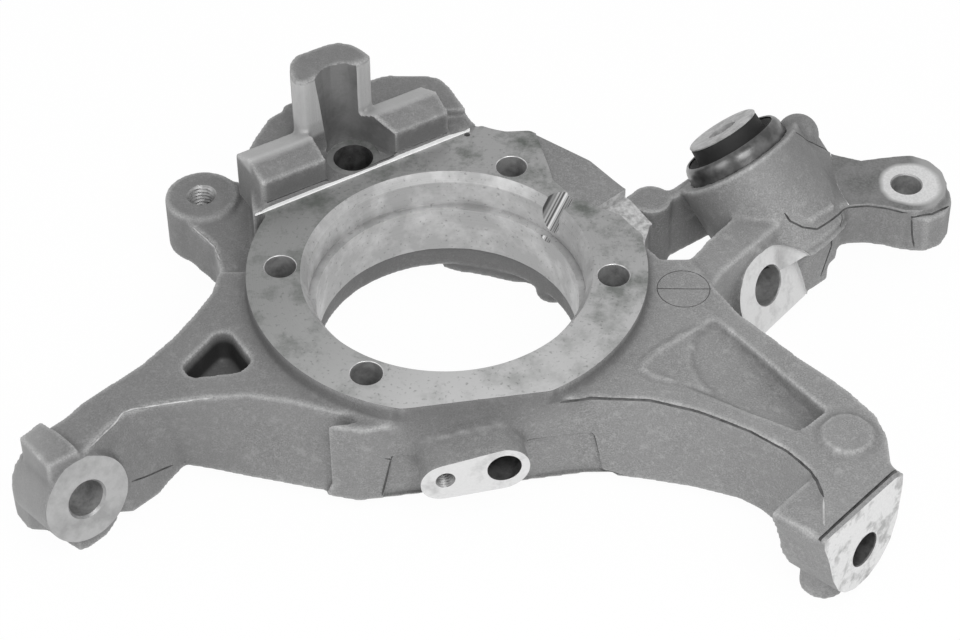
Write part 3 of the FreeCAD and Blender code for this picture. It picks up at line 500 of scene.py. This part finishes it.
def plain(name, dark, light, scale, metal, rough, low=0.4, high=0.65):
    """Finish that varies between two greys in cloudy patches."""
    paint = Paint(name)
    patch = paint.between(low, high, paint.noise(scale, 4.0, 0.65))
    fine = paint.between(0.3, 0.7, paint.noise(1100, 1.0))
    mixed = paint.mix(patch, grey(light), grey(dark))
    return paint.finish(Base_Color=paint.mix(fine * 0.3, mixed, grey((light + dark) / 2)),
                        Metallic=metal, Roughness=rough, Normal=paint.bump(fine, 0.00003, 0.5))


drilled_hole = plain("drilled_hole", 0.20, 0.42, 150, 0.4, 0.4)
# Deep holes are coloured near black as painted shade.
deep_hole_shade = plain("deep_hole_shade", 0.04, 0.16, 160, 0.5, 0.35)
hollow_wall = plain("milled_hollow", 0.13, 0.24, 60, 0.4, 0.45)
bright_end = plain("bright_milled_end", 0.50, 0.70, 130, 0.2, 0.45, 0.5, 0.7)
stained_end = plain("stained_milled_end", 0.36, 0.74, 110, 0.2, 0.45, 0.5, 0.64)
brushed_end = plain("brushed_end", 0.33, 0.46, 120, 0.5, 0.42)
# Painted highlight for the chamfers of the hub screw holes.
painted_lip_highlight = plain("painted_lip_highlight", 0.35, 0.75, 260, 0.3, 0.4)
# Near-white painted highlight for thin milled steps and edges.
painted_edge_highlight = plain("painted_edge_highlight", 0.85, 0.95, 300, 0.0, 0.4)
speckled_floor = plain("speckled_spot_face", 0.30, 0.62, 420, 0.3, 0.45)
thread_metal = plain("thread", 0.22, 0.45, 300, 0.4, 0.45)
# Near-black painted shade for shallow grooves and mould lines.
groove_shade = plain("painted_groove_shade", 0.045, 0.12, 260, 0.1, 0.7)
# Painted highlight for bright lines along ridges and corners.
painted_ridge_highlight = plain("painted_ridge_highlight", 0.34, 0.62, 300, 0.3, 0.5)

broached = Paint("broached_notch")
round_hub = Vector((-math.sin(NOTCH_TURN), math.cos(NOTCH_TURN), 0))
across_notch = NOTCH_IN.cross(round_hub.cross(NOTCH_IN)).normalized()
stripes = broached.between(0.42, 0.58, broached.lines(broached.along(across_notch, NOTCH_AT) * 0.9, 1.0))
broached_notch = broached.finish(Base_Color=broached.mix(stripes, grey(0.10), grey(0.62)), Metallic=0.5,
                                 Roughness=0.4)
casting.data.materials.clear()
casting.data.materials.append(cast_skin)

# Machining of the casting
# The hub face, the stepped bore, the ends of the arms and every hole are cut after casting, so their edges
# are crisp and their surfaces bright. Last come the mould's own marks: shallow recesses in the front wall,
# an ejector mark, and lines where the mould's parts met. The ejector mark and the dark lines are shallow
# grooves coloured near black as painted shade, and the bright lines are painted highlights along ridges.
LEFT_PLACE, EYE_PLACE, STUD_PLACE = seat(LEFT, LEFT_OUT), seat(EYE, UP), seat(STUD, UP)
SENSOR_PLACE, NOTCH_PLACE = seat(SENSOR, SENSOR_OUT), seat(NOTCH_AT, NOTCH_IN)
CHORD, HUB_MILL = ((-77.1, 30.6), (9.4, 81.9)), 96
LINK_OUTLINE = [(-18.6, -20)]
for k in range(25):
    t = math.radians(180 - 7.5 * k)
    spare = 0.6 if math.cos(t) < -0.1 else 0.0
    LINK_OUTLINE.append((-0.5 + (18.5 + spare) * math.cos(t), (17 + spare) * math.sin(t)))
LINK_OUTLINE.append((21.6, -20))


def cut(name, material, build, operation="DIFFERENCE"):
    """Cuts the built shape out of the casting, or joins it on, with its finish on the new surface."""
    bm = bmesh.new()
    build(bm)
    tool = piece(name, bm)
    tool.data.materials.append(material)
    chip = casting.modifiers.new(name, "BOOLEAN")
    chip.operation = operation
    chip.solver = "MANIFOLD"
    chip.material_mode = "TRANSFER"
    chip.object = tool
    settle(casting)
    bpy.data.objects.remove(tool)


def threaded(bm, crest, root, pitch, deep, place, steps=48, rows=8):
    """Cutter for a tapped hole: a closed screw whose radius swings between crest and root."""
    turns = int((deep + 1) / pitch * rows)
    shape = []
    for row in range(turns + 1):
        h = pitch / rows * row - deep
        loop = []
        for k in range(steps):
            phase = (row / rows - k / steps) % 1
            r = crest + (root - crest) * (1 - abs(2 * phase - 1))
            a = 2 * math.pi * k / steps
            loop.append(bm.verts.new(place @ Vector((r * math.cos(a), r * math.sin(a), h)) * MM))
        shape.append(loop)
    joined(bm, shape)


def hub_face(bm):
    """Everything above the machined face, up to the straight step in front of the pads."""
    (ax, ay), (bx, by) = CHORD
    first, last = math.atan2(by, bx), math.atan2(ay, ax)
    sweep = first - last + 2 * math.pi
    rim = [(HUB_MILL * math.cos(first - k / 90 * sweep), HUB_MILL * math.sin(first - k / 90 * sweep))
           for k in range(1, 90)]
    prism(bm, ([(bx, by), (16, 92)] + rim + [(-92, 21.8), (ax, ay)])[::-1], 0, 4)


LOW_WEB = [(35.5, 84), (41, 60), (42.6, 51), (44.4, 48.5), (47.3, 44.7), (50.7, 38.6), (53.2, 38.9),
           (56.1, 37.4), (59, 34.7), (59.8, 35.1), (68.1, 42.5), (84, 57), (60, 80)]
SPOT = [(59.8, 35.1), (61, 33.7), (63.4, 32.6), (68.6, 29.7), (73, 23), (76.6, 18.2), (77.9, 13.8),
        (84, 12), (90, 26), (84, 42), (76, 49.7)]
ROOM = [(-49.7, 56), (-49.6, 63.4), (-49.1, 68.4), (-47.5, 72.3), (-45.1, 74.9), (-42, 76.3), (-39, 76.5),
        (-36, 75.6), (-33, 73.9), (-29.5, 71.6), (-25, 68.4), (-21, 65.8), (-24, 60), (-36, 52)]
ROOM_TOP = [(-53, 56), (-52.8, 62), (-52, 67.4), (-49.6, 72.3), (-46.2, 75.2), (-42, 76.5), (-39, 76.6),
            (-36, 75.7), (-33, 74), (-29.5, 71.7), (-25, 68.5), (-21, 65.9), (-24, 60), (-36, 52)]
cut("hub_face", milled_face, hub_face)
cut("low_web", cast_skin, lambda bm: prism(bm, LOW_WEB, -0.8, 4))
# Dark lines at the foot of the pads: shallow grooves coloured as painted shade.
cut("foot_line", groove_shade, lambda bm: strip(bm, [(-71.6, 36), (-47.5, 50)], 0.5, 1.2, 3))
cut("foot_line_right", groove_shade, lambda bm: strip(bm, [(-34, 57.8), (0, 77.7)], 0.5, 1.2, 3))
# The step in front of the pads is a thin strip of painted highlight.
cut("milled_step", painted_edge_highlight, lambda bm: strip(
    bm, [(CHORD[0][0] - 3, CHORD[0][1] - 1.78), CHORD[0], CHORD[1]], 0.5, 0.03, 4))
cut("hub_bore", turned_bore, lambda bm: turned(bm, [
    (51.8, -60), (51.8, -16), (55.2, -16), (55.2, -15.2), (54.6, -14.8), (54.6, -4), (57.2, 0), (60, 4)]))
# Each hub screw hole's chamfer is cut with a painted highlight on it.
for k, at in enumerate(HUB_SCREWS):
    cut("hub_screw_rim_%d" % k, painted_lip_highlight, lambda bm: turned(
        bm, [(6.2, -0.3), (6.6, 0.1), (6.6, 4)], seat(at, UP), 48))
    cut("hub_screw_%d" % k, drilled_hole, lambda bm: prism(bm, ring_of(6.25, 48), -60, 4, seat(at, UP)))
cut("left_face", brushed_end, lambda bm: prism(bm, ring_of(19), 0, 8, LEFT_PLACE))
cut("left_hole", drilled_hole, lambda bm: turned(
    bm, [(7.45, -60), (7.45, -1.0), (8.4, 0.1), (8.4, 3)], LEFT_PLACE, 64))
cut("lower_face", stained_end, lambda bm: prism(bm, ring_of(38), 0, 6, seat(LOWER, LOWER_OUT)))
cut("lower_hole", deep_hole_shade, lambda bm: turned(
    bm, [(0.5, -24), (6.9, -22), (6.9, -0.5), (7.3, 0.1), (7.3, 3)], seat(LOWER, LOWER_OUT), 64))
cut("link_face", bright_end, lambda bm: prism(bm, LINK_OUTLINE, 0, 16, LINK_PLACE))
cut("bush_wall", bright_end, lambda bm: prism(
    bm, arc(22.9, range(242, 287, 3)) + arc(22.06, range(284, 241, -3)), -44.4, -33, BUSH_PLACE), "UNION")
cut("link_hole", drilled_hole, lambda bm: turned(
    bm, [(8.4, -40), (8.4, -0.5), (8.8, 0.1), (8.8, 3)], seat(LINK, LINK_OUT), 64))
cut("sensor_face", bright_end, lambda bm: prism(bm, ring_of(38), 0, 6, SENSOR_PLACE))
cut("sensor_hole", deep_hole_shade, lambda bm: prism(bm, ring_of(6.6, 48), -40, 3, SENSOR_PLACE))
cut("sensor_screw", thread_metal, lambda bm: threaded(bm, 3.5, 4.1, 1.25, 16, seat(SCREW, SENSOR_OUT)))
cut("stud_hole", thread_metal, lambda bm: threaded(bm, 5.3, 6.2, 1.75, 42, STUD_PLACE))
cut("stud_rim", drilled_hole, lambda bm: turned(bm, [(5.5, -0.7), (6.3, 0.1), (6.3, 3)], STUD_PLACE, 48))
cut("cable_floor", milled_face, lambda bm: prism(bm, ring_of(10.8, 64), -0.2, 0.6, seat(CABLE, UP)))
cut("cable_hole", deep_hole_shade, lambda bm: prism(bm, ring_of(8.1, 64), -60, 3, seat(CABLE, UP)))
cut("bolt_room", hollow_wall, lambda bm: prism(bm, ROOM, 1.75, 41, None, ROOM_TOP))
MILL_AT, MILL_SIZE = (40.8, 12.4), 70
# The steering face's edge is a thin ring of painted highlight.
for name, material, spare, level in (("steering_line", painted_edge_highlight, 0.45, 0.05),
                                     ("steering_face", steering_face, 0, 0)):
    cut(name, material, lambda bm: prism(bm, ring_of(MILL_SIZE + spare, 160, MILL_AT), level, 6, EYE_PLACE))
cut("steering_hole", drilled_hole, lambda bm: turned(
    bm, [(6.1, -60), (6.1, -0.6), (6.7, 0.1), (6.7, 3)], EYE_PLACE, 48))
cut("sensor_notch", broached_notch, lambda bm: prism(bm, ring_of(5.0, 40), -2, 26, NOTCH_PLACE))
cut("spot_face", speckled_floor, lambda bm: prism(bm, SPOT, -5.2, 6))
LEFT_RECESS = [(-36.6, -46.6), (-32.4, -25.6), (-31.8, -25.1), (-20, -25.1), (-20, -46.6)]
RIGHT_RECESS = [(16, -46.6), (16, -25.2), (39.75, -25.2), (39.75, -46.6)]
BENT_RECESS = [(48, -46.6), (48, -25.2), (52.3, -25.2), (53.3, -26.4), (57, -44.4), (58.2, -45.4),
               (66, -46.6)]
RECESS_DEPTH = 1.2
for name, place, corners in (("left_recess", FLAT_WALL, LEFT_RECESS),
                             ("right_recess", FLAT_WALL, RIGHT_RECESS),
                             ("bent_recess", BENT_WALL, BENT_RECESS)):
    cut(name, cast_skin, lambda bm: prism(bm, corners, -RECESS_DEPTH, 6, place))
LOWER_PLACE = seat(LOWER, LOWER_OUT, Vector((0.68, 0.73, 0)))
# The lower groove and the ejector mark are shallow grooves coloured as painted shade.
cut("lower_groove", groove_shade, lambda bm: prism(
    bm, [(-34, 23.1), (23, 23.1), (26, 34), (-34, 34)], -2.9, -1.7, LOWER_PLACE))
EJECTOR = seat(Vector((92, -7.3, -6)), UP)
cut("ejector_ring", groove_shade, lambda bm: pipe(bm, 10.1, 10.4, -0.3, 3, EJECTOR))
cut("ejector_line", groove_shade, lambda bm: strip(bm, [(-10.5, 0.2), (10.8, -0.2)], 0.4, -0.35, 3, EJECTOR))


def mould_line(name, path, radius, material):
    """Shallow round groove that follows the surface along a path."""
    line = []
    for start, end in zip(path, path[1:]):
        start, end = Vector(start), Vector(end)
        count = max(1, round((end - start).length / 2.5))
        line += [start.lerp(end, k / count) for k in range(count)]
    line = [casting.closest_point_on_mesh(p * MM)[1] / MM for p in line + [Vector(path[-1])]]

    def tube(bm):
        loops = []
        for k, at in enumerate(line):
            ahead = (line[min(k + 1, len(line) - 1)] - line[max(k - 1, 0)]).normalized()
            swell = radius * (0.35 if k in (0, len(line) - 1) else 1.0)
            loops.append([bm.verts.new(seat(at, ahead, UP if abs(ahead.z) < 0.8 else None) @
                                       Vector((x, y, 0)) * MM) for x, y in ring_of(swell, 6)])
        joined(bm, loops)

    cut(name, material, tube)


def on_wall(along, height):
    return WALL_OUT * WALL_REACH + WALL_ALONG * along + UP * height


# The dark lines are shallow grooves coloured with painted shade, and the bright ones carry painted
# highlights along ridges and corners.
MOULD_LINES = [
    ("front_ledge", groove_shade, 0.6, [
        (42.3, -66.5, -7.6), (53.5, -65.6, -6.6), (75, -66.9, -6.8), (91.7, -72.7, -6.6),
        (106.1, -80.3, -6.7), (120.2, -90, -7), (129.1, -99.6, -6.5), (134.3, -109, -6.3),
        (136.1, -117.2, -6.4)]),
    ("end_corner", painted_ridge_highlight, 0.4, [(136.1, -118, -6.6), (135.4, -127, -7.5), (135, -132.5, -9)]),
    ("left_arm_ledge", painted_ridge_highlight, 0.4, [
        (-87.9, -61.6, -8.3), (-102.7, -64, -8.3), (-117.5, -66.9, -8.3), (-121.1, -68.6, -8.4),
        (-125.6, -76.1, -9.2), (-131.9, -86.4, -8.3)]),
    ("lug_line", painted_ridge_highlight, 0.35, [(-103.5, 43, -16), (-94.1, 31.5, -16.6), (-90.9, 23, -16)]),
    ("ear_root", groove_shade, 0.45, [
        (134.7, 33.7, -3.8), (136.9, 32.1, -6.7), (142.1, 31.3, -9.5), (148.1, 32.2, -11.4),
        (154.5, 38.4, -12), (158.8, 44.5, -13.2), (162.8, 47, -13.4), (170.2, 47.5, -13.4),
        (178.8, 46.1, -13.6), (186, 43.9, -13.6)]),
    ("ear_block", groove_shade, 0.45, [
        (204.3, 49.4, -14.5), (196, 44, -14.5), (187.9, 43.5, -15.3), (188.6, 42.4, -24.3),
        (190.1, 41.9, -30.8)]),
    ("housing_edge", groove_shade, 0.45, [
        (158.8, 44.3, -13.8), (156.8, 38.5, -18.5), (156.2, 41.8, -29.2), (152.6, 38.6, -43.3)]),
    ("housing_crease", groove_shade, 0.3, [
        (137.3, 61.6, 14), (143.7, 64.8, 9.4), (150.9, 70.9, -0.7), (156.5, 76, -9)]),
    ("left_flange", groove_shade, 0.4, [
        (-119.6, -79.6, -34.6), (-113.4, -73.2, -37.9), (-105.6, -64, -42.4)]),
    ("recess_edge_left", groove_shade, 0.45, [on_wall(-37, -46), on_wall(-32.6, -25.2), on_wall(-26, -25.1)]),
    ("recess_edge_right", groove_shade, 0.45, [
        on_wall(18.9, -25), on_wall(30, -25.2), on_wall(39.7, -25.3), (54.5, -66.1, -25.1),
        (55.4, -66.1, -26.6), (59.3, -66, -44.8), (62, -66, -45.9), (68, -66, -46)])]
for name, material, radius, path in MOULD_LINES:
    mould_line(name, path, radius, material)

# A cut can leave a loose chip beside the casting, so only the largest connected body is kept.
body = bmesh.new()
body.from_mesh(casting.data)
seen, groups = set(), []
for first in body.verts:
    if first not in seen:
        group, front = [], [first]
        seen.add(first)
        while front:
            group.append(front.pop())
            for edge in group[-1].link_edges:
                other = edge.other_vert(group[-1])
                if other not in seen:
                    seen.add(other)
                    front.append(other)
        groups.append(group)
groups.sort(key=len)
bmesh.ops.delete(body, geom=[v for group in groups[:-1] for v in group], context="VERTS")
body.to_mesh(casting.data)
body.free()

SHARP = math.cos(math.radians(32))
beside = {}
for face in casting.data.polygons:
    face.use_smooth = True
    for edge_key in face.edge_keys:
        beside.setdefault(edge_key, []).append(face)
for edge in casting.data.edges:
    pair = beside.get(edge.key, ())
    edge.use_edge_sharp = len(pair) == 2 and (pair[0].material_index != pair[1].material_index or
                                              pair[0].normal.dot(pair[1].normal) < SHARP)
casting.name = "dressed_casting"
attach(casting, "root")
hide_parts("knuckle_casting")

# Bonded bush
# A turned steel sleeve with a rolled rim is pressed into the tower. Black rubber is bonded inside it and
# round a stem with a thin flat end disc.
steel = Paint("turned_sleeve")
band = steel.between(0.4, 0.7, steel.noise(110, 3.0, 0.6))
sleeve_steel = steel.finish(Base_Color=steel.mix(band, grey(0.10), grey(0.24)), Metallic=0.85,
                            Roughness=0.3)
black = Paint("moulded_rubber")
rubber_skin = black.finish(Base_Color=black.mix(black.noise(300, 2.0), grey(0.004), grey(0.014)),
                           Roughness=0.7, Normal=black.bump(black.noise(700, 2.0), 0.0001, 0.5))
disc_skin = plain("pressed_disc", 0.30, 0.52, 180, 0.3, 0.5)
for name, node, slot_name, material, profile in (
        ("dressed_sleeve", "bush_outer_sleeve", "sleeve", sleeve_steel,
         [(20.2, -42), (22, -42), (22, 2.2), (21.8, 4.2), (21.2, 5.8), (20.4, 6.8), (19.9, 7.0),
          (19.5, 6.7), (19.7, 6.0), (20.2, 5.0)]),
        ("dressed_rubber", "bush_rubber", "rubber", rubber_skin,
         [(10.5, -44), (20.2, -44), (20.2, 5.2), (19.4, 6.1), (18.6, 5.9), (17.6, 4.9), (16.6, 4.6),
          (15.8, 5.2), (15.4, 6.6), (15.2, 9.0), (15.1, 11.6), (14.8, 12.3), (10.5, 12.3)]),
        ("dressed_pin", "bush_inner_sleeve", "inner", disc_skin,
         [(6.1, -37), (10.5, -37), (10.5, 12.2), (14.6, 12.2), (15.1, 12.5), (15.2, 13.0), (14.8, 13.4),
          (14.2, 13.5), (6.9, 13.5), (6.1, 12.9)])):
    bm = bmesh.new()
    turned(bm, profile, BUSH_PLACE, 128, True)
    part = piece(name, bm)
    part.data.materials.append(material)
    for face in part.data.polygons:
        face.use_smooth = True
    sharpen = part.modifiers.new("rims", "EDGE_SPLIT")
    sharpen.split_angle = math.radians(38)
    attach(part, "root")
    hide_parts(node)

# Backdrop, light and camera
# A white floor and a white sky, with a near key lamp and a broad fill lamp. The camera looks down at 44
# degrees through a long lens.

# The floor's paper shines by itself to the camera and in reflections, and keeps a trace of the shadow.
FLOOR_LEVEL = -54.1
FLOOR_SHINE = 0.97
floor_mesh = bmesh.new()
bmesh.ops.create_grid(floor_mesh, x_segments=1, y_segments=1, size=6.0)
floor = piece("floor", floor_mesh)
floor.location.z = FLOOR_LEVEL * MM
paper = Paint("white_paper")
paper.put(paper.shader.inputs["Base Color"], grey(0.9))
glow = paper.node("ShaderNodeEmission", {}, {"Color": grey(1.0), "Strength": 1.0})
straight, mirrored = (paper.node("ShaderNodeLightPath", out=k) for k in (0, 3))
either = paper.node("ShaderNodeMath", {"operation": "MAXIMUM"}, {0: straight, 1: mirrored})
blend = paper.tree.nodes.new("ShaderNodeMixShader")
paper.put(blend.inputs[0], either * FLOOR_SHINE)
paper.tree.links.new(paper.shader.outputs[0], blend.inputs[1])
paper.put(blend.inputs[2], glow)
paper.tree.links.new(blend.outputs[0], paper.tree.nodes["Material Output"].inputs[0])
floor.data.materials.append(paper.material)

world = bpy.data.worlds.new("studio")
bpy.context.scene.world = world
world.use_nodes = True
world.node_tree.nodes["Background"].inputs[0].default_value = (1, 1, 1, 1)
world.node_tree.nodes["Background"].inputs[1].default_value = 0.7


def lamp(name, at, size, power):
    data = bpy.data.lights.new(name, "AREA")
    data.shape = "RECTANGLE"
    data.size, data.size_y = size
    data.energy = power
    obj = bpy.data.objects.new(name, data)
    obj.location = at
    obj.rotation_euler = (-Vector(at)).to_track_quat("-Z", "Y").to_euler()
    bpy.context.scene.collection.objects.link(obj)


lamp("key", (0.18, -0.46, 0.6), (0.4, 0.4), 2.9)
lamp("fill", (-1.2, -0.9, 0.8), (1.2, 0.8), 4)

LOOK_DOWN, ROLL = math.radians(44.064), math.radians(-0.6436)
turn = Matrix.Rotation(math.pi / 2 - LOOK_DOWN, 3, "X") @ Matrix.Rotation(ROLL, 3, "Z")
lens = bpy.data.cameras.new("camera")
lens.lens, lens.sensor_width = 105, 36
camera = bpy.data.objects.new("camera", lens)
camera.rotation_euler = turn.to_euler()
camera.location = -(turn @ Vector((-0.012906, 0.020512, -1.090707)))
bpy.context.scene.collection.objects.link(camera)
bpy.context.scene.camera = camera
bpy.context.scene.view_settings.view_transform = "Standard"
